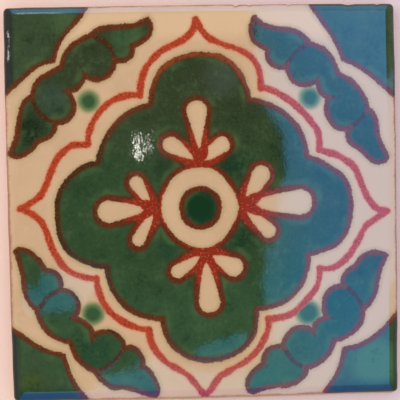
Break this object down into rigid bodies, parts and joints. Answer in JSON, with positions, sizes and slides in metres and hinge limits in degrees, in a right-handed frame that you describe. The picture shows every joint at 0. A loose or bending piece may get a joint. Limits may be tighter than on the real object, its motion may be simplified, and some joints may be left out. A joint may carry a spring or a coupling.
{
  "type": "talavera tile",
  "caption": "Square hand-painted glazed wall tile with a rolled edge, leaning cut sides and a back keyed for mortar.",
  "frame": {"origin": "centre of the bedding face, the unglazed back that lies on the wall or floor", "axes": "+Z is the way the glazed face looks, +Y is the top of the painted pattern as in the picture, +X is its right"},
  "size_m": [0.104, 0.1054, 0.0065],
  "materials": {
    "glazed_clay": "gloss glaze over cream ground, painted green with brick-red outlines; bare buff clay on the sides and back"
  },
  "bodies": {
    "root": {"tile": "glazed_clay"}
  },
  "joints": []
}
